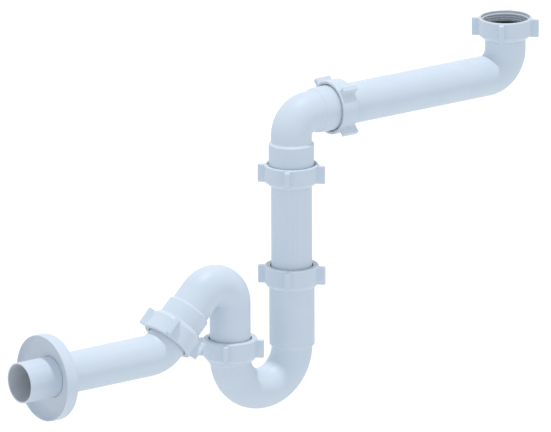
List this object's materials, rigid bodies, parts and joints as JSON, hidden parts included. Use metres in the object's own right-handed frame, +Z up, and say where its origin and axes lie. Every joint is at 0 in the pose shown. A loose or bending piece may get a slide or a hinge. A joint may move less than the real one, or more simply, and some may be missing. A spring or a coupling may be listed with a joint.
{
  "type": "space-saving trap",
  "caption": "White plastic trap with a level arm from the waste, a down pipe, a U bend that holds the water seal, a swan neck and an outlet pipe with a wall flange, joined by winged nuts.",
  "frame": {"origin": "middle of the inlet nut's mouth", "axes": "+Z up, out of the inlet nut; +X from the wall towards the waste; all centre lines lie in y = 0"},
  "size_m": [0.6187, 0.085, 0.3458],
  "materials": {
    "polypropylene": "satin white",
    "rubber": "matte black"
  },
  "bodies": {
    "arm": {"inlet_arm": "polypropylene", "inlet_washer": "rubber"},
    "inlet_nut": {"inlet_nut": "polypropylene"},
    "arm_seal": {"arm_seal": "rubber"},
    "elbow": {"corner_elbow": "polypropylene"},
    "arm_nut": {"arm_nut": "polypropylene"},
    "elbow_nut": {"elbow_nut": "polypropylene"},
    "down_pipe": {"down_pipe": "polypropylene", "elbow_seal": "rubber"},
    "trap_inlet_seal": {"trap_inlet_seal": "rubber"},
    "trap": {"trap_bend": "polypropylene"},
    "trap_inlet_nut": {"trap_inlet_nut": "polypropylene"},
    "trap_outlet_nut": {"trap_outlet_nut": "polypropylene"},
    "swan": {"swan_neck": "polypropylene", "trap_outlet_seal": "rubber"},
    "outlet_nut": {"outlet_nut": "polypropylene"},
    "outlet": {"outlet_pipe": "polypropylene", "outlet_seal": "rubber"},
    "flange": {"wall_flange": "polypropylene"}
  },
  "joints": [
    {"name": "inlet_nut_turn", "type": "hinge", "parent": "arm", "child": "inlet_nut", "pos_m": [0, 0, 0], "axis": [0, 0, 1], "continuous": true},
    {"name": "arm_slide", "type": "slide", "parent": "arm", "child": "arm_seal", "axis": [1, 0, 0], "range_m": [-0.012, 0.0025]},
    {"name": "arm_swivel", "type": "hinge", "parent": "arm_seal", "child": "elbow", "pos_m": [-0.2633, 0, -0.0558], "axis": [1, 0, 0], "range_deg": [-90, 90]},
    {"name": "arm_nut_turn", "type": "hinge", "parent": "elbow", "child": "arm_nut", "pos_m": [-0.2633, 0, -0.0558], "axis": [1, 0, 0], "continuous": true},
    {"name": "pipe_swivel", "type": "hinge", "parent": "elbow", "child": "down_pipe", "pos_m": [-0.2633, 0, -0.0558], "axis": [0, 0, 1], "range_deg": [-90, 90]},
    {"name": "elbow_nut_turn", "type": "hinge", "parent": "elbow", "child": "elbow_nut", "pos_m": [-0.2633, 0, -0.0558], "axis": [0, 0, 1], "continuous": true},
    {"name": "trap_slide", "type": "slide", "parent": "down_pipe", "child": "trap_inlet_seal", "axis": [0, 0, 1], "range_m": [-0.025, 0.03]},
    {"name": "trap_swivel", "type": "hinge", "parent": "trap_inlet_seal", "child": "trap", "pos_m": [-0.2633, 0, -0.3258], "axis": [0, 0, 1], "range_deg": [-180, 180]},
    {"name": "trap_inlet_nut_turn", "type": "hinge", "parent": "trap", "child": "trap_inlet_nut", "pos_m": [-0.2633, 0, -0.3258], "axis": [0, 0, 1], "continuous": true},
    {"name": "trap_outlet_nut_turn", "type": "hinge", "parent": "trap", "child": "trap_outlet_nut", "pos_m": [-0.3386, 0, -0.3258], "axis": [0, 0, 1], "continuous": true},
    {"name": "swan_swivel", "type": "hinge", "parent": "trap", "child": "swan", "pos_m": [-0.3386, 0, -0.3258], "axis": [0, 0, 1], "range_deg": [-90, 90]},
    {"name": "outlet_nut_turn", "type": "hinge", "parent": "swan", "child": "outlet_nut", "pos_m": [-0.37445, 0, -0.21765], "axis": [-0.7071, 0, -0.7071], "continuous": true},
    {"name": "outlet_swivel", "type": "hinge", "parent": "swan", "child": "outlet", "pos_m": [-0.37445, 0, -0.21765], "axis": [-0.7071, 0, -0.7071], "range_deg": [-90, 90]},
    {"name": "flange_slide", "type": "slide", "parent": "outlet", "child": "flange", "axis": [1, 0, 0], "range_m": [-0.02, 0.1]}
  ]
}
